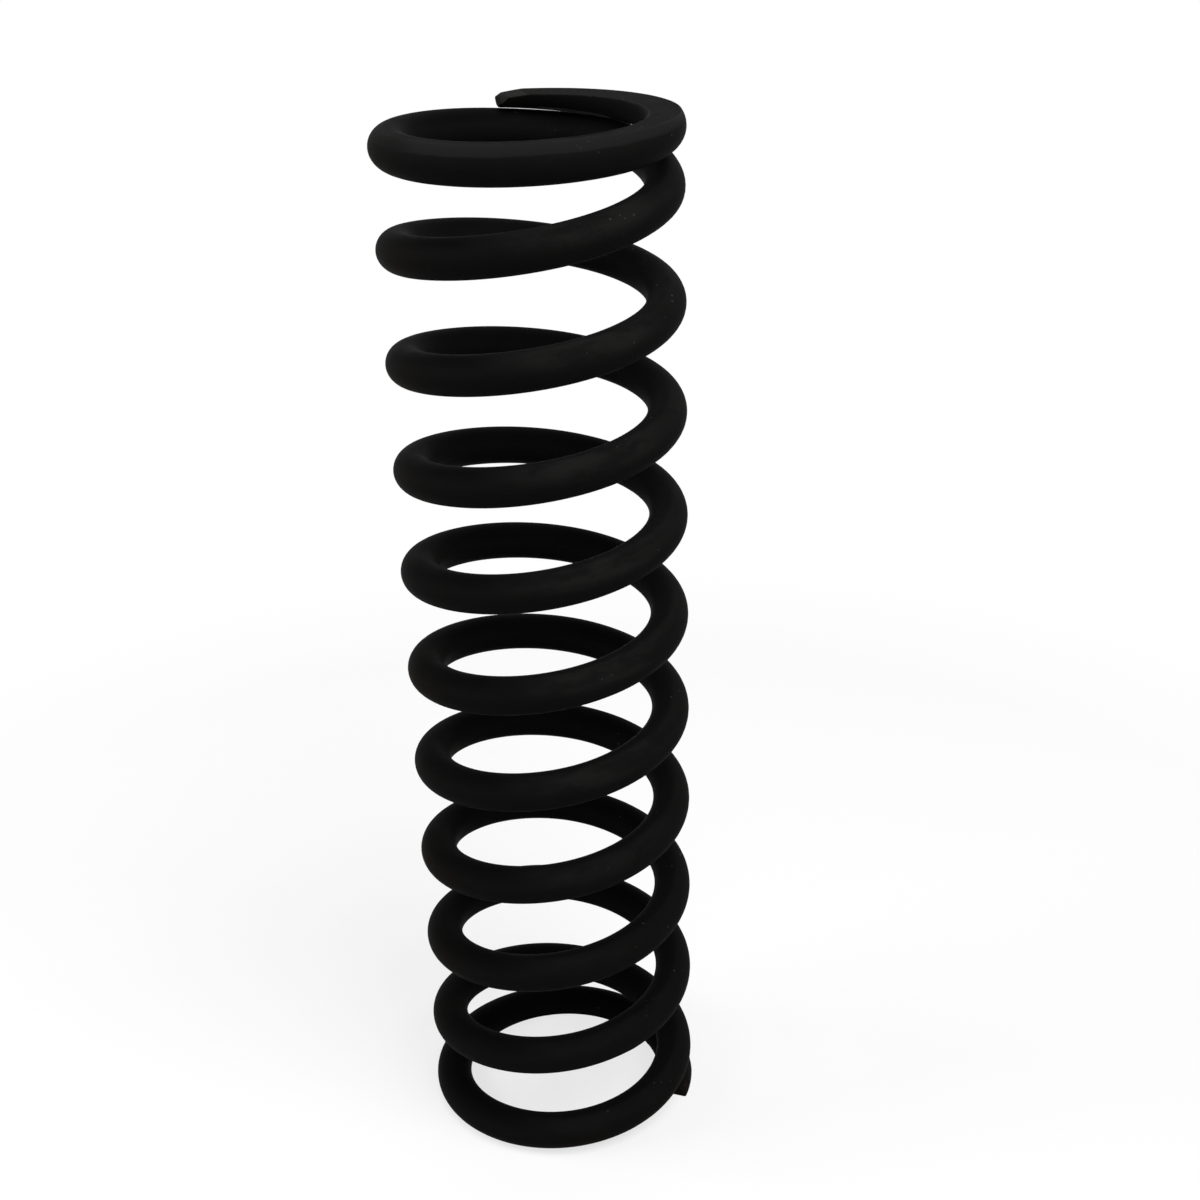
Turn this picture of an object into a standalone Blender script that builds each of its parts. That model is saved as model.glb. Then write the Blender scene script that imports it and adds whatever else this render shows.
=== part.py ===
# Compression spring of a tensioner: one length of round steel wire, coiled right-handed,
# with both end turns closed and ground flat so that it stands square on its seat.
#
# Metres, +Z up. The coil's axis is Z and the spring stands on the plane Z = 0. The wire's
# lower tip is at the front right and its upper tip is at the back.

import math

import bmesh
import bpy
import numpy as np
from mathutils import Vector

# Driving dimensions
WIRE_DIAMETER = 0.006
MEAN_DIAMETER = 0.039           # of the coil, from wire centre to wire centre
FREE_LENGTH = 0.168             # between the two ground faces
TOTAL_TURNS = 11.345            # from tip to tip
BOTTOM_TIP_CLEARANCE = 0.0003   # between the lower tip and the turn that lies on it
TOP_TIP_CLEARANCE = 0.00045     # between the upper tip, which stands up a little, and its turn
BOTTOM_TIP_THICKNESS = 0.0022   # what grinding leaves of the wire at its lower tip
TOP_TIP_THICKNESS = 0.0018      # and at its upper tip
BOTTOM_TIP_ANGLE = -21.4        # degrees about Z from +X, where the lower tip lies
TIP_SPRING_OUT = 0.00035        # how far the lower tip stands out of the coil's cylinder
TIP_SPRING_TURNS = 0.35         # the length of wire over which it does
TIP_SPRING_POWER = 1.5          # how sharply it leaves the cylinder
TOP_SPREAD = 0.0004             # how much wider the upper end turn is wound than the coil
TOP_SPREAD_TURNS = 2.0          # the turns from the upper tip over which it swells and dies out
CUT_CHAMFER = 0.0003            # broken edge round the wire's sheared ends

# How steeply each end turn climbs, at each quarter turn counted from the tip. Only the
# ratios count: a whole end turn always climbs one wire diameter and the tip's clearance.
# The upper tip rides up onto its neighbour, so it climbs fastest, and then lies level.
BOTTOM_CLIMB = (1.2, 0.65, 0.8, 0.95, 2.35)
TOP_CLIMB = (2.8, 1.05, 0.7, 0.2, 1.9)

# Pitch at each quarter turn after the closed turn, as a ratio of the open coils' pitch,
# which it runs over and under before it settles
BOTTOM_LEAVING_PITCH = (0.95, 1.2, 0.95, 0.95)
TOP_LEAVING_PITCH = (1.25, 1.1, 0.8, 1.1)

# Facets
POINTS_PER_TURN = 36
WIRE_SIDES = 14
TABLE_STEPS_PER_TURN = 360      # fineness of the climb's running sum
SAME_POINT = 1e-6               # corners closer than this are one
SMOOTH_BELOW = 35               # degrees between facets that are shaded as one round surface

# Finish: a matte black coating all over
COATING_COLOUR = (0.012, 0.012, 0.012, 1.0)
COATING_ROUGHNESS = 0.55

QUARTER = 0.25
CLOSED_TURNS = 1.0
OPEN_FROM_TURN = 2.5            # the open coils' pitch holds from here on


def clear_scene():
    for item in list(bpy.data.objects):
        bpy.data.objects.remove(item, do_unlink=True)


def closed_climb(turns_from_tip, ratios, clearance):
    """Climb per turn, in metres, along the closed end turn, and nothing past its run-out."""
    marks = [QUARTER * step for step in range(len(ratios))]
    sum_of_turn = sum(QUARTER * (a + b) / 2 for a, b in zip(ratios, ratios[1:]))
    scale = (WIRE_DIAMETER + clearance) / sum_of_turn
    marks.append(CLOSED_TURNS + QUARTER)
    climbs = [scale * ratio for ratio in ratios] + [0.0]
    return np.interp(turns_from_tip, marks, climbs)


def open_share(turns_from_tip, leaving_pitch):
    """Share of the open coils' pitch: none along the closed turn, one from the open coils on."""
    marks = [CLOSED_TURNS + QUARTER * step for step in range(len(leaving_pitch) + 1)]
    marks.append(OPEN_FROM_TURN)
    return np.interp(turns_from_tip, marks, [0.0, *leaving_pitch, 1.0])


def running_sum(rates, step):
    return np.concatenate([[0.0], np.cumsum((rates[1:] + rates[:-1]) / 2 * step)])


def coil_heights(turns):
    """Height of the wire's centreline at each place, in turns from the lower tip."""
    count = int(TOTAL_TURNS * TABLE_STEPS_PER_TURN) + 1
    table = np.linspace(0.0, TOTAL_TURNS, count)
    from_top = TOTAL_TURNS - table
    lower_half = table < TOTAL_TURNS / 2
    closed = np.where(
        lower_half,
        closed_climb(table, BOTTOM_CLIMB, BOTTOM_TIP_CLEARANCE),
        closed_climb(from_top, TOP_CLIMB, TOP_TIP_CLEARANCE),
    )
    share = np.where(
        lower_half,
        open_share(table, BOTTOM_LEAVING_PITCH),
        open_share(from_top, TOP_LEAVING_PITCH),
    )
    step = table[1] - table[0]
    closed_height = running_sum(closed, step)
    open_height = running_sum(share, step)
    # The tips keep their thickness under the grinding planes, and the pitch fills the rest
    radius = WIRE_DIAMETER / 2
    first = BOTTOM_TIP_THICKNESS - radius
    last = FREE_LENGTH - TOP_TIP_THICKNESS + radius
    pitch = (last - first - closed_height[-1]) / open_height[-1]
    return np.interp(turns, table, first + closed_height + pitch * open_height)


def centreline():
    """Points along the wire's centre, from the lower tip to the upper one."""
    count = round(TOTAL_TURNS * POINTS_PER_TURN) + 1
    turns = np.linspace(0.0, TOTAL_TURNS, count)
    heights = coil_heights(turns)
    points = []
    for turn, height in zip(turns, heights):
        angle = math.radians(BOTTOM_TIP_ANGLE) + 2 * math.pi * turn
        spring = max(0.0, 1 - turn / TIP_SPRING_TURNS) ** TIP_SPRING_POWER
        from_top = min((TOTAL_TURNS - turn) / TOP_SPREAD_TURNS, 1.0)
        spread = math.sin(math.pi * from_top)
        radius = MEAN_DIAMETER / 2 + TIP_SPRING_OUT * spring + TOP_SPREAD * spread
        points.append(Vector((radius * math.cos(angle), radius * math.sin(angle), height)))
    return points


def with_chamfers(points):
    """Centreline points with their radii, and one more near each end for the broken edge."""
    rims = []
    for end, inner in ((points[0], points[1]), (points[-1], points[-2])):
        rims.append(end + CUT_CHAMFER * (inner - end).normalized())
    full = WIRE_DIAMETER / 2
    path = [points[0], rims[0]] + points[1:-1] + [rims[1], points[-1]]
    radii = [full - CUT_CHAMFER] + [full] * (len(path) - 2) + [full - CUT_CHAMFER]
    return path, radii


def wire_mesh():
    """The coiled wire before grinding, from a curve with a round bevel and filled ends."""
    path, radii = with_chamfers(centreline())
    curve = bpy.data.curves.new("wire_path", "CURVE")
    curve.dimensions = "3D"
    curve.twist_mode = "Z_UP"
    curve.bevel_depth = 1.0
    curve.bevel_resolution = (WIRE_SIDES - 4) // 2
    curve.use_fill_caps = True
    spline = curve.splines.new("POLY")
    spline.points.add(len(path) - 1)
    for place, point, radius in zip(spline.points, path, radii):
        place.co = (*point, 1.0)
        place.radius = radius
    holder = bpy.data.objects.new("wire_path", curve)
    bpy.context.scene.collection.objects.link(holder)
    bpy.context.view_layer.update()
    evaluated = holder.evaluated_get(bpy.context.evaluated_depsgraph_get())
    mesh = bpy.data.meshes.new_from_object(evaluated)
    bpy.data.objects.remove(holder, do_unlink=True)
    bpy.data.curves.remove(curve)
    return mesh


def grind(shape, height, outward):
    """Cut the shape flat at a height and close it, taking away what lies outward."""
    everything = shape.verts[:] + shape.edges[:] + shape.faces[:]
    cut = bmesh.ops.bisect_plane(
        shape,
        geom=everything,
        dist=SAME_POINT,
        plane_co=Vector((0.0, 0.0, height)),
        plane_no=Vector((0.0, 0.0, outward)),
        clear_outer=True,
    )
    rim = [item for item in cut["geom_cut"] if isinstance(item, bmesh.types.BMEdge)]
    bmesh.ops.contextual_create(shape, geom=rim)


def coating():
    material = bpy.data.materials.new("black_coating")
    material.use_nodes = True
    shader = material.node_tree.nodes["Principled BSDF"]
    shader.inputs["Base Color"].default_value = COATING_COLOUR
    shader.inputs["Roughness"].default_value = COATING_ROUGHNESS
    shader.inputs["Metallic"].default_value = 0.0
    material.diffuse_color = COATING_COLOUR
    return material


def coil_spring():
    mesh = wire_mesh()
    shape = bmesh.new()
    shape.from_mesh(mesh)
    bmesh.ops.remove_doubles(shape, verts=shape.verts[:], dist=SAME_POINT)
    grind(shape, 0.0, -1.0)
    grind(shape, FREE_LENGTH, 1.0)
    bmesh.ops.recalc_face_normals(shape, faces=shape.faces[:])
    shape.to_mesh(mesh)
    shape.free()
    mesh.name = "coil_spring"
    mesh.materials.clear()
    mesh.materials.append(coating())
    mesh.shade_smooth()
    mesh.set_sharp_from_angle(angle=math.radians(SMOOTH_BELOW))
    spring = bpy.data.objects.new("coil_spring", mesh)
    bpy.context.scene.collection.objects.link(spring)
    return spring


clear_scene()
coil_spring()
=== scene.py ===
import math

import bmesh
import bpy
import numpy as np
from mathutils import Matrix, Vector


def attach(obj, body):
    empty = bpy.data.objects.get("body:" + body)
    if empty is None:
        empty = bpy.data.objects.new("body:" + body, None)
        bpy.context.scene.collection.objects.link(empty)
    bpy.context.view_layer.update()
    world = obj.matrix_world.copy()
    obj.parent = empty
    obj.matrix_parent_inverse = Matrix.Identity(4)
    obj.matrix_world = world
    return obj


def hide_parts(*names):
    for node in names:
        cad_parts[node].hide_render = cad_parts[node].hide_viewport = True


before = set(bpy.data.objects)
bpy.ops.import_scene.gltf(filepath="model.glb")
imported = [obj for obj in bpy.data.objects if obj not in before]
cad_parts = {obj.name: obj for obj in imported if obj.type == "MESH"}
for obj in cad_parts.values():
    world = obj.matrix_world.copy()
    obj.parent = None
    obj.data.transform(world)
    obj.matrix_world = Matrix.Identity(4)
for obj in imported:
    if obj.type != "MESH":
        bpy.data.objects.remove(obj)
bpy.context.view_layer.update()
bpy.ops.object.select_all(action="DESELECT")
print("frame loaded:", ", ".join(sorted(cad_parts)))


# Camera

photoView = {
    "place": (0.0020858, -0.2690327, 0.2139280),
    "turn": (65.6375, 1.3890, -2.0035),  # degrees about X, Y and Z
    "lens": 55.9586,  # mm, for a square picture
    "sensorWidth": 36,
    "nearest": 0.01,
    "farthest": 50,
}

bpy.ops.object.camera_add(
    location=photoView["place"],
    rotation=[math.radians(angle) for angle in photoView["turn"]],
)
camera = bpy.context.object
camera.name = "camera"
camera.data.lens = photoView["lens"]
camera.data.sensor_width = photoView["sensorWidth"]
camera.data.clip_start = photoView["nearest"]
camera.data.clip_end = photoView["farthest"]
bpy.context.scene.camera = camera
bpy.context.scene.view_settings.view_transform = "Standard"
print("camera placed")


# Shader maths: one socket, with the sums that are written on it

class Signal:
    def __init__(self, tree, socket=None):
        self.tree = tree
        self.socket = socket

    def node(self, kind, settings=None, inputs=None, output=0):
        made = self.tree.nodes.new(kind)
        for name, value in (settings or {}).items():
            setattr(made, name, value)
        for name, value in (inputs or {}).items():
            if isinstance(value, Signal):
                self.tree.links.new(value.socket, made.inputs[name])
            else:
                made.inputs[name].default_value = value
        return Signal(self.tree, made.outputs[output] if made.outputs else None)

    def out(self, name):
        return Signal(self.tree, self.socket.node.outputs[name])

    def maths(self, operation, *values):
        return self.node("ShaderNodeMath", {"operation": operation}, dict(enumerate(values)))

    def __add__(self, other):
        return self.maths("ADD", self, other)

    def __radd__(self, other):
        return self.maths("ADD", other, self)

    def __sub__(self, other):
        return self.maths("SUBTRACT", self, other)

    def __rsub__(self, other):
        return self.maths("SUBTRACT", other, self)

    def __mul__(self, other):
        return self.maths("MULTIPLY", self, other)

    def __rmul__(self, other):
        return self.maths("MULTIPLY", other, self)

    def least(self, other):
        return self.maths("MINIMUM", self, other)

    def most(self, other):
        return self.maths("MAXIMUM", self, other)

    def size(self):
        return self.maths("ABSOLUTE", self)

    def smooth(self, low, high):  # 0 at low, 1 at high, eased between
        return self.node(
            "ShaderNodeMapRange",
            {"interpolation_type": "SMOOTHSTEP"},
            {"Value": self, "From Min": low, "From Max": high},
        )

    def blend(self, first, second):  # from the first colour to the second
        return self.node(
            "ShaderNodeMix", {"data_type": "RGBA"}, {0: self, 6: first, 7: second}, output=2
        )

    def stretched(self, scale, turn=(0, 0, 0)):
        return self.node(
            "ShaderNodeMapping", None, {"Vector": self, "Scale": scale, "Rotation": turn}
        )

    def noise(self, scale, detail=2.0, roughness=0.5):
        return self.node(
            "ShaderNodeTexNoise", None,
            {"Vector": self, "Scale": scale, "Detail": detail, "Roughness": roughness},
        )


def startMaterial(name):
    material = bpy.data.materials.new(name)
    material.use_nodes = True
    material.node_tree.nodes.clear()
    return material, Signal(material.node_tree)


# The coiled wire

springWire = {
    "wireDiameter": 0.006,
    "paintLine": 0.00002,  # how far the round wire stays inside the solid's box
    "coilDiameter": 0.039,
    "freeLength": 0.168,
    "turns": 11.345,
    "lowerTipAngle": -21.4,  # degrees about Z
    "lowerTipThickness": 0.0022,
    "upperTipThickness": 0.00217,
    "lowerTipClearance": 0.0003,
    "upperTipClearance": 0.00014,
    "lowerClimb": (1.2, 0.65, 0.8, 0.95, 2.35),  # at each quarter turn from the tip
    "upperClimb": (1.8, 1.57, 0.58, 0.29, 2.09),
    "lowerLeavingPitch": (0.95, 1.2, 0.95, 0.95),  # at each quarter turn after the closed one
    "upperLeavingPitch": (1.53, 1.11, 0.8, 1.1),
    "lowerOpensFrom": 1,
    "upperOpensFrom": 1.107,
    "tipSpringOut": 0.00028,
    "tipSpringTurns": 0.35,
    "tipSpringPower": 1.5,
    "upperSpread": 0.00033,  # the upper end turn is wound this much wider
    "upperSpreadTurns": 2.27,
    "upperBend": 0.00102,  # and where the wire leaves it, it is set in by this much
    "upperBendTurn": 1.22,
    "upperBendReach": 0.14,
    "upperTipWear": ((0.12, 0.0005), (0.5, 0.0009), (1.5, 0.00115)),  # slope, drop at the end
    "wornDepth": 0.0022,  # only the wire this close under the upper face is worn
    "wornAngles": (-20, 105),  # degrees about Z, and only between these
    "drip": 0.0004,  # a run of paint that hangs from the wire
    "dripTurn": 1.9,
    "dripReach": 0.0014,
    "dripSharpness": 5,  # how narrowly it keeps to the underside
    "sides": 40,
    "ringsPerTurn": 120,
    "tableSteps": 360,  # per turn, for the running sums of height
    "cutRim": 0.0003,  # rounding of the sheared ends
    "groundRim": 0.0001,  # and of the ground faces
    "groundArea": 0.000005,  # any level face larger than this was ground
    "groundLevel": 0.98,  # and level is an upright normal of at least this
    "crispAngle": 30,  # ground edges sharper than this are rounded
    "smoothBelow": 35,  # degrees between faces that are shaded as one
    "onPlane": 1e-7,
    "samePoint": 1e-6,
}


def closedClimb(fromTip, ratios, clearance):
    wholeTurn = sum((a + b) / 8 for a, b in zip(ratios, ratios[1:]))
    scale = (springWire["wireDiameter"] + clearance) / wholeTurn
    marks = [0, 0.25, 0.5, 0.75, 1, 1.25]
    return np.interp(fromTip, marks, [scale * ratio for ratio in ratios] + [0])


def openShare(fromTip, opensFrom, leavingPitch):
    return np.interp(fromTip, [opensFrom, 1.25, 1.5, 1.75, 2, 2.5], [0, *leavingPitch, 1])


def runningSum(rates, step):
    return np.concatenate([[0], np.cumsum((rates[1:] + rates[:-1]) / 2 * step)])


def wireHeights():  # a table of turns from the lower tip, and the centre's height at each
    wire = springWire
    turns = np.linspace(0, wire["turns"], round(wire["turns"] * wire["tableSteps"]) + 1)
    fromTop = wire["turns"] - turns
    lower = turns < wire["turns"] / 2
    closed = np.where(
        lower,
        closedClimb(turns, wire["lowerClimb"], wire["lowerTipClearance"]),
        closedClimb(fromTop, wire["upperClimb"], wire["upperTipClearance"]),
    )
    share = np.where(
        lower,
        openShare(turns, wire["lowerOpensFrom"], wire["lowerLeavingPitch"]),
        openShare(fromTop, wire["upperOpensFrom"], wire["upperLeavingPitch"]),
    )
    closedHeight = runningSum(closed, turns[1])
    openHeight = runningSum(share, turns[1])
    radius = wire["wireDiameter"] / 2
    first = wire["lowerTipThickness"] - radius
    last = wire["freeLength"] - wire["upperTipThickness"] + radius
    pitch = (last - first - closedHeight[-1]) / openHeight[-1]
    return turns, first + closedHeight + pitch * openHeight


def coilWire(piece):  # moves each ring of the evenly screwed wire to its real height and lean
    wire = springWire
    mesh = piece.data
    count = len(mesh.vertices)
    places = np.empty(count * 3)
    mesh.vertices.foreach_get("co", places)
    places = places.reshape(count, 3)
    share = np.arange(count) // wire["sides"] / round(wire["turns"] * wire["ringsPerTurn"])
    turn = share * wire["turns"]
    coil = wire["coilDiameter"] / 2
    outward = np.hypot(places[:, 0], places[:, 1]) - coil
    upward = places[:, 2] - share * wire["freeLength"]

    turns, heights = wireHeights()
    slopes = np.gradient(heights, turns) / (2 * math.pi * coil)
    lean = np.arctan(np.interp(turn, turns, slopes))
    angle = math.radians(wire["lowerTipAngle"]) + 2 * math.pi * turn
    spring = np.clip(1 - turn / wire["tipSpringTurns"], 0, 1) ** wire["tipSpringPower"]
    fromTop = wire["turns"] - turn
    spread = np.sin(math.pi * np.clip(fromTop / wire["upperSpreadTurns"], 0, 1))
    bend = np.clip(1 - np.abs(fromTop - wire["upperBendTurn"]) / wire["upperBendReach"], 0, 1)
    bend = bend ** 2 * (3 - 2 * bend)
    reach = coil + wire["tipSpringOut"] * spring + wire["upperSpread"] * spread + outward
    reach = reach - wire["upperBend"] * bend

    away = (turn - wire["dripTurn"]) * 2 * math.pi * coil / wire["dripReach"]
    hanging = np.clip(-2 * upward / wire["wireDiameter"], 0, 1) ** wire["dripSharpness"]
    upward = upward - wire["drip"] * (hanging * np.exp(-away ** 2))
    leanBack = upward * np.sin(lean)
    placed = np.column_stack([
        reach * np.cos(angle) + leanBack * np.sin(angle),
        reach * np.sin(angle) - leanBack * np.cos(angle),
        np.interp(turn, turns, heights) + upward * np.cos(lean),
    ])
    mesh.vertices.foreach_set("co", placed.ravel())

    # Where each point was on the straight wire, for patterns that run along it
    lengths = runningSum(2 * math.pi * coil * np.hypot(1, slopes), turns[1])
    straight = mesh.attributes.new("straightWire", "FLOAT_VECTOR", "POINT")
    along = np.interp(turn, turns, lengths)
    straight.data.foreach_set("vector", np.column_stack([outward, upward, along]).ravel())
    mesh.update()
    return lengths[-1]


def pick(piece, kind, test):  # selects the faces or edges that a test accepts, in edit mode
    bpy.ops.mesh.select_mode(type=kind)
    bpy.ops.mesh.select_all(action="DESELECT")
    shape = bmesh.from_edit_mesh(piece.data)
    for part in shape.faces if kind == "FACE" else shape.edges:
        part.select_set(test(part))
    bmesh.update_edit_mesh(piece.data)


def onGroundFace(face):
    level = abs(face.normal.z) > springWire["groundLevel"]
    return level and face.calc_area() > springWire["groundArea"]


def byUpperTip(face):  # the end turn's upper side, and nothing of the turn below it
    place = face.calc_center_median()
    past = math.degrees(math.atan2(place.y, place.x))
    first, last = springWire["wornAngles"]
    return place.z > springWire["freeLength"] - springWire["wornDepth"] and first < past < last


def onCrispRim(edge):
    if [onGroundFace(face) for face in edge.link_faces].count(True) != 1:
        return False
    return edge.calc_face_angle() > math.radians(springWire["crispAngle"])


def makeSpringWire():
    wire = springWire
    bpy.ops.mesh.primitive_circle_add(
        vertices=wire["sides"],
        radius=wire["wireDiameter"] / 2 - wire["paintLine"],
        location=(wire["coilDiameter"] / 2, 0, 0),
        rotation=(math.radians(90), 0, 0),
    )
    piece = bpy.context.object
    piece.name = piece.data.name = "springWire"
    bpy.ops.object.transform_apply()
    screw = piece.modifiers.new("coils", "SCREW")
    screw.axis = "Z"
    screw.angle = 2 * math.pi * wire["turns"]
    screw.screw_offset = wire["freeLength"]
    screw.steps = screw.render_steps = round(wire["turns"] * wire["ringsPerTurn"])
    bpy.ops.object.modifier_apply(modifier="coils")
    wireLength = coilWire(piece)
    print(f"wire coiled: {wireLength:.3f} m long, {len(piece.data.vertices)} points")

    # Shear both ends and round their rims
    bpy.ops.object.mode_set(mode="EDIT")
    bpy.ops.mesh.select_mode(type="EDGE")
    bpy.ops.mesh.select_all(action="DESELECT")
    bpy.ops.mesh.select_non_manifold()
    bpy.ops.mesh.fill_holes(sides=0)
    bpy.ops.mesh.select_all(action="SELECT")
    bpy.ops.mesh.normals_make_consistent(inside=False)
    pick(piece, "FACE", lambda face: len(face.verts) == wire["sides"])
    bpy.ops.mesh.region_to_loop()
    bpy.ops.mesh.bevel(offset=wire["cutRim"], segments=3)

    # The upper tip is worn down towards its end
    tip = math.radians(wire["lowerTipAngle"]) + 2 * math.pi * wire["turns"]
    outOfEnd = Vector((-math.sin(tip), math.cos(tip), 0))
    end = wire["coilDiameter"] / 2 * Vector((math.cos(tip), math.sin(tip), 0))
    for slope, drop in wire["upperTipWear"]:
        pick(piece, "FACE", byUpperTip)
        bpy.ops.mesh.bisect(
            plane_co=end + Vector((0, 0, wire["freeLength"] - drop)),
            plane_no=slope * outOfEnd + Vector((0, 0, 1)),
            use_fill=True,
            clear_outer=True,
            threshold=wire["onPlane"],
        )

    # Grind both ends flat, and break the edges of the ground faces
    for level, outside in ((0, -1), (wire["freeLength"], 1)):
        bpy.ops.mesh.select_all(action="SELECT")
        bpy.ops.mesh.bisect(
            plane_co=(0, 0, level),
            plane_no=(0, 0, outside),
            use_fill=True,
            clear_outer=True,
            threshold=wire["onPlane"],
        )
    pick(piece, "EDGE", onCrispRim)
    bpy.ops.mesh.bevel(
        offset=wire["groundRim"], segments=2, clamp_overlap=False, loop_slide=True
    )
    bpy.ops.mesh.select_all(action="SELECT")
    bpy.ops.mesh.remove_doubles(threshold=wire["samePoint"])
    pick(piece, "EDGE", lambda edge: any(onGroundFace(face) for face in edge.link_faces))
    bpy.ops.mesh.mark_sharp()
    bpy.ops.object.mode_set(mode="OBJECT")
    bpy.ops.object.shade_smooth_by_angle(angle=math.radians(wire["smoothBelow"]))
    print(f"ends cut and ground: {len(piece.data.polygons)} faces")
    return piece, wireLength


# The matte black coating

coating = {
    "black": (0.0052, 0.0051, 0.0050, 1),
    "greyed": (0.0064, 0.0063, 0.0062, 1),
    "browned": (0.0064, 0.0056, 0.0045, 1),
    "paintedShade": (0.0020, 0.0020, 0.0020, 1),  # painted shade on the tops at the left and along the inner top
    "paintedSheen": (0.0110, 0.0108, 0.0105, 1),  # painted highlight: a sheen on the upper right-front of each turn
    "shoulderScuffAndSheen": (0.0112, 0.0110, 0.0110, 1),  # scuffed by the spring's seat, and a painted highlight from above on the upper turn's shoulder
    "rubbed": (0.018, 0.0175, 0.017, 1),
    "seam": (0.045, 0.044, 0.042, 1),
    "olive": (0.0078, 0.0080, 0.0056, 1),  # on the lower tip, over the brown
    "cutEnd": (0.0022, 0.0022, 0.0021, 1),
    "speck": (0.034, 0.0335, 0.032, 1),
    "sheenSide": (0.30, -0.60, 0.74),  # the way that the side with the painted highlight faces
    "shoulderDepth": 0.0018,
    "shoulderLean": 0.025,  # the scuffed and highlighted band is deeper on the left
    "seamStart": (0.0055, 0.0075),  # from the upper tip, where it rubs on its neighbour
    "seamEnd": (0.020, 0.018),
    "seamUnder": (-0.0021, -0.0025),  # and on the wire's underside
    "outerSide": (-0.0008, 0.001),  # the wire's own outward side
    "innerTop": (0.0010, 0.0002),
    "atPlane": (0.00006, 0.00002),  # distance from a ground plane
    "nearPlane": (0.00035, 0.00004),
    "level": (0.97, 0.995),  # how upright a normal is
    "scuffAndSheenTop": (0.25, 0.6),
    "shadedTop": (0.25, 0.85),
    "softTop": (0.2, 0.7),
    "underside": (0.3, -0.5),
    "notUnder": (-0.3, 0.1),
    "frontUpward": (-0.2, 0.4),
    "sheenFacing": (0.55, 0.97),
    "cloudContrast": (0.4, 0.6),
    "greyContrast": (0.45, 0.75),
    "patchContrast": (0.36, 0.62),
    "rimContrast": (0.42, 0.6),
    "speckPatches": (0.46, 0.54),
    "topTurn": (0.130, 0.118),  # length of wire from the upper tip
    "pastFirstTurn": (0.048, 0.058),
    "wornTip": (0.0065, 0.0045),
    "stainedTip": (0.008, 0.002),
    "shearedEnd": (0.0006, 0.0001),
    "lowerTip": (0.009, 0.004),
    "oliveFrom": (0.0015, 0.004),  # height above the floor
    "bottomBand": (0.010, 0.003),
    "leftSide": (-0.014, -0.0185),  # across the coil
    "sheenRises": (0.035, 0.085),  # the painted highlight thins out towards the floor
    "sheenRight": (-0.012, 0.006),
    "sheenThins": (0.019, 0.013),
    "rowAcross": 0.0005,  # where the specks at the back lie
    "rowWidth": (0.0045, 0.002),
    "rowBack": (0.01, 0.014),
    "rowAbove": (0.10, 0.12),
    "frontRight": (0.003, 0.009),
    "shadedSide": (0.002, -0.012),
    "specksFrom": (0.5, 0.53),  # the share of cells that hold a speck
    "cloudScale": 75,  # per metre
    "patchScale": 330,
    "mottleScale": 420,
    "grainScale": 3600,
    "grindingScale": 4200,
    "speckPatchScale": 130,
    "drawnScale": 2600,  # across the wire
    "speckScale": 700,
    "roughness": 0.62,
    "specular": 0.008,
    "reliefStrength": 0.35,
    "reliefDepth": 0.0001,
}


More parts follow.
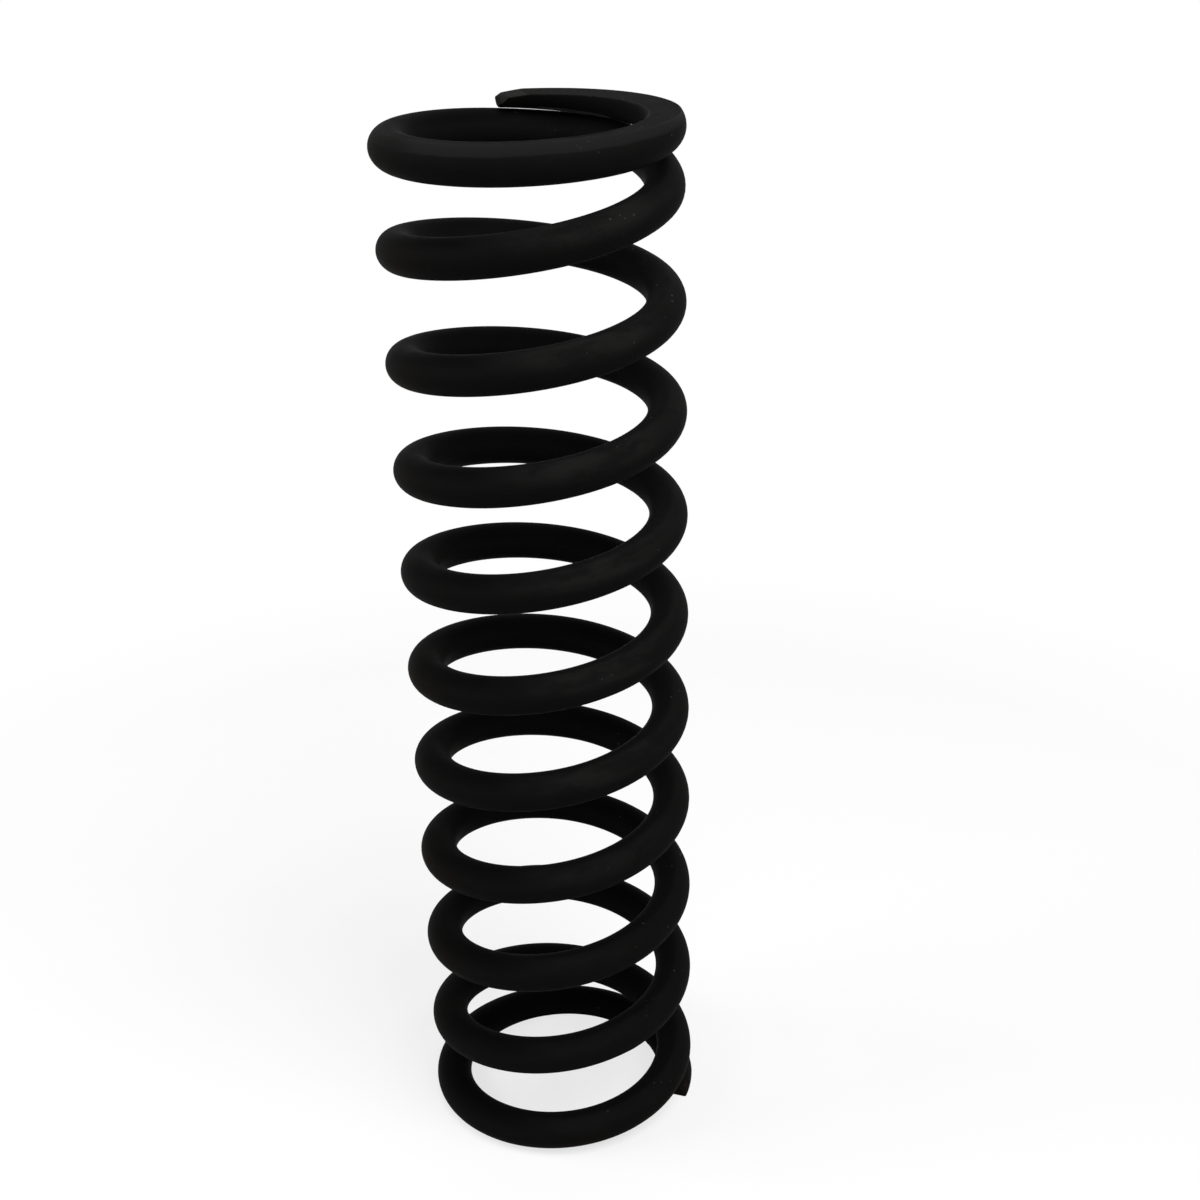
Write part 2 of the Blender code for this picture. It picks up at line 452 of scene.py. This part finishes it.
def blackCoating(wireLength):
    look = coating
    material, start = startMaterial("blackCoating")
    place = start.node("ShaderNodeTexCoord", output="Object")
    straight = start.node(
        "ShaderNodeAttribute", {"attribute_name": "straightWire"}, output="Vector"
    )
    normal = start.node("ShaderNodeNewGeometry", output="Normal")
    length = springWire["freeLength"]

    across = start.node("ShaderNodeSeparateXYZ", None, {0: place})
    height = across.out("Z")
    section = start.node("ShaderNodeSeparateXYZ", None, {0: straight})
    outside = section.smooth(*look["outerSide"])
    fromTip = (wireLength - section.out("Z")).size()
    facing = start.node("ShaderNodeSeparateXYZ", None, {0: normal}, output="Z")

    # Where the wire was ground, the rims round those faces, and the upper turn's shoulder:
    # scuffed by the seat, with a painted highlight from above
    fromPlane = height.least(length - height).size()
    atPlane = fromPlane.smooth(*look["atPlane"])
    ground = atPlane * facing.size().smooth(*look["level"])
    rim = fromPlane.smooth(*look["nearPlane"]) * (1 - ground)
    cloud = place.noise(look["cloudScale"], 3)
    mottle = straight.stretched((1, 1, 0.4)).noise(look["mottleScale"], 3, 0.6)
    grain = place.noise(look["grainScale"], 2, 0.6)
    drawn = straight.stretched((1, 1, 0.012)).noise(look["drawnScale"], 2)
    grinding = place.stretched((0.06, 1, 1), (0, 0, 0.5)).noise(look["grindingScale"], 2, 0.7)
    topTurn = fromTip.smooth(*look["topTurn"])
    innerTop = section.smooth(*look["innerTop"])
    roundTop = innerTop * fromTip.smooth(*look["pastFirstTurn"])
    left = across.smooth(*look["leftSide"])
    # painted highlight, with some scuffing, on the up-facing shoulder of the upper turn; less on
    # the left, where less light falls
    below = length - height + look["shoulderLean"] * across + 0.0006 * (mottle - 0.5)
    shoulderScuffAndSheen = below.smooth(look["shoulderDepth"], 0.86 * look["shoulderDepth"])
    shoulderScuffAndSheen = shoulderScuffAndSheen * facing.smooth(*look["scuffAndSheenTop"]) * (1 - roundTop) * (1 - 0.8 * left)
    shoulderScuffAndSheen = shoulderScuffAndSheen * (1 - 0.65 * fromTip.smooth(*look["wornTip"]))
    seam = fromTip.smooth(*look["seamStart"]) * fromTip.smooth(*look["seamEnd"])
    seam = seam * section.out("Y").smooth(*look["seamUnder"]) * section.smooth(0, -0.0004)

    # Painted highlight: a mottled sheen painted on the upper right-front of each turn; and dust
    # specks in patches
    towardSheen = start.node(
        "ShaderNodeVectorMath", {"operation": "DOT_PRODUCT"},
        {0: normal, 1: look["sheenSide"]}, output="Value",
    )
    patchy = straight.stretched((1, 1, 0.45)).noise(look["patchScale"], 4, 0.65)
    patchy = 0.15 + 0.85 * patchy.smooth(*look["patchContrast"])
    # painted highlight on the up-facing right-front of each turn, where the light falls
    paintedSheen = towardSheen.smooth(*look["sheenFacing"]) * outside * patchy
    paintedSheen = paintedSheen * (0.2 + 0.8 * height.smooth(*look["sheenRises"]))
    paintedSheen = paintedSheen * across.smooth(*look["sheenRight"])
    paintedSheen = paintedSheen * (0.35 + 0.65 * across.smooth(*look["sheenThins"])) * (1 - 0.85 * topTurn)
    cells = start.node(
        "ShaderNodeTexVoronoi", None,
        {"Vector": place, "Scale": look["speckScale"], "Randomness": 1.0},
    )
    chance = start.node("ShaderNodeSeparateColor", None, {0: cells.out("Color")})
    speckSize = 0.07 + 0.07 * chance.out("Green")
    backRow = (across - look["rowAcross"]).size().smooth(*look["rowWidth"])
    backRow = backRow * across.out("Y").smooth(*look["rowBack"])
    backRow = backRow * height.smooth(*look["rowAbove"]) * facing.smooth(*look["notUnder"])
    rightFront = across.smooth(*look["frontRight"]) * facing.smooth(*look["frontUpward"])
    scattered = place.noise(look["speckPatchScale"], 1).smooth(*look["speckPatches"])
    patches = (scattered * rightFront).most(backRow)
    speck = (cells - speckSize).smooth(0.02, -0.02) * chance.smooth(*look["specksFrom"]) * patches

    tinted = height.smooth(*look["bottomBand"]) * facing.smooth(*look["underside"])
    tinted = (left * 0.8).most(tinted).most(0.6 * fromTip.smooth(*look["stainedTip"]))
    lowerTip = (wireLength - fromTip).smooth(*look["lowerTip"])
    # painted shade: darker tops on the left and along the inner top, where less light falls
    paintedShadeMask = facing.smooth(*look["shadedTop"]) * across.smooth(*look["shadedSide"]) * (1 - topTurn)
    paintedShadeMask = (0.75 * paintedShadeMask).most(innerTop * facing.smooth(*look["softTop"]) * (0.55 * (1 - topTurn)))
    paintedShadeMask = paintedShadeMask.most(roundTop * topTurn * facing.smooth(*look["softTop"]) * 0.9)
    colour = (cloud.smooth(*look["cloudContrast"]) * tinted).blend(look["black"], look["browned"])
    colour = (mottle.smooth(*look["greyContrast"]) * 0.6).blend(colour, look["greyed"])
    tipStain = height.smooth(*look["oliveFrom"]).blend(look["browned"], look["olive"])
    colour = (lowerTip * (0.5 + cloud)).least(1).blend(colour, tipStain)
    colour = paintedShadeMask.blend(colour, look["paintedShade"])
    colour = paintedSheen.blend(colour, look["paintedSheen"])
    colour = (shoulderScuffAndSheen * (1 - ground)).blend(colour, look["shoulderScuffAndSheen"])
    colour = fromTip.smooth(*look["shearedEnd"]).blend(colour, look["cutEnd"])
    colour = (rim * grain.smooth(*look["rimContrast"]) * 0.3).blend(colour, look["rubbed"])
    colour = (seam * (0.4 + mottle)).least(1).blend(colour, look["seam"])
    colour = speck.blend(colour, look["speck"])

    roughness = look["roughness"] + 0.22 * (mottle - 0.5) + 0.1 * (grain - 0.5)
    roughness = roughness + 0.25 * speck + 0.1 * ground

    relief = 0.5 * mottle + 0.16 * grain + 0.1 * drawn + 0.2 * ground * grinding + 0.5 * speck
    bumped = start.node(
        "ShaderNodeBump", None,
        {"Strength": look["reliefStrength"], "Distance": look["reliefDepth"], "Height": relief},
    )
    surface = start.node(
        "ShaderNodeBsdfPrincipled", None,
        {
            "Base Color": colour,
            "Roughness": roughness,
            "Metallic": 0.0,
            "Specular IOR Level": look["specular"],
            "Normal": bumped,
        },
    )
    start.node("ShaderNodeOutputMaterial", None, {"Surface": surface})
    return material


spring, wireLength = makeSpringWire()
spring.data.materials.clear()
spring.data.materials.append(blackCoating(wireLength))
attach(spring, "root")
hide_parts("coil_spring")
print("spring coated")


# Floor, backdrop and lamps

studio = {
    "floorSize": 12,
    "floorHeight": -0.00002,  # just under the ground face
    "floorColour": (0.82, 0.82, 0.82, 1),  # as the spring is lit by it
    "seenColour": (1, 1, 1, 1),  # as the picture shows it
    "whiteShare": 0.72,  # how much of the floor's seen brightness is plain white
    "fadeFrom": 0.05,
    "fadeTo": 0.24,
    "ambient": 0.12,
    "lamps": {
        "keyLamp": {"place": (0.196, -0.251, 0.593), "size": 0.40, "power": 3.3},
        "leftLamp": {"place": (-0.520, 0.0, 0.384), "size": 0.35, "power": 1.8},
        "backLamp": {"place": (0.0, 0.155, 0.664), "size": 0.35, "power": 0.6},
    },
}


def seenDirectly(start):  # by the camera, or in a reflection
    path = start.node("ShaderNodeLightPath", output="Is Camera Ray")
    return path.most(path.out("Is Glossy Ray")).most(path.out("Is Transmission Ray"))


def floorMaterial():
    material, start = startMaterial("paleFloor")
    place = start.node("ShaderNodeTexCoord", output="Object")
    away = start.node("ShaderNodeVectorMath", {"operation": "LENGTH"}, {0: place}, output="Value")
    white = away.smooth(studio["fadeFrom"], studio["fadeTo"]).most(studio["whiteShare"])
    seen = seenDirectly(start)
    tone = seen.blend(studio["floorColour"], studio["seenColour"])
    lit = start.node("ShaderNodeBsdfDiffuse", None, {"Color": tone})
    plain = start.node("ShaderNodeEmission", None, {"Color": (1, 1, 1, 1), "Strength": 1.0})
    surface = start.node(
        "ShaderNodeMixShader", None, {0: white * seen, 1: lit, 2: plain}
    )
    start.node("ShaderNodeOutputMaterial", None, {"Surface": surface})
    return material


bpy.ops.mesh.primitive_plane_add(
    size=studio["floorSize"], location=(0, 0, studio["floorHeight"])
)
floor = bpy.context.object
floor.name = "floor"
floor.data.materials.append(floorMaterial())

world = bpy.data.worlds.new("studio")
bpy.context.scene.world = world
world.use_nodes = True
world.node_tree.nodes.clear()
sky = Signal(world.node_tree)
seen = seenDirectly(sky)
air = sky.node(
    "ShaderNodeBackground", None,
    {"Color": (1, 1, 1, 1), "Strength": seen + (1 - seen) * studio["ambient"]},
)
sky.node("ShaderNodeOutputWorld", None, {"Surface": air})

middle = Vector((0, 0, springWire["freeLength"] / 2))
for name, lamp in studio["lamps"].items():
    bpy.ops.object.light_add(type="AREA", location=lamp["place"])
    light = bpy.context.object
    light.name = name
    light.data.energy = lamp["power"]
    light.data.size = lamp["size"]
    light.rotation_euler = (light.location - middle).to_track_quat("Z", "Y").to_euler()
print("floor and lamps set")
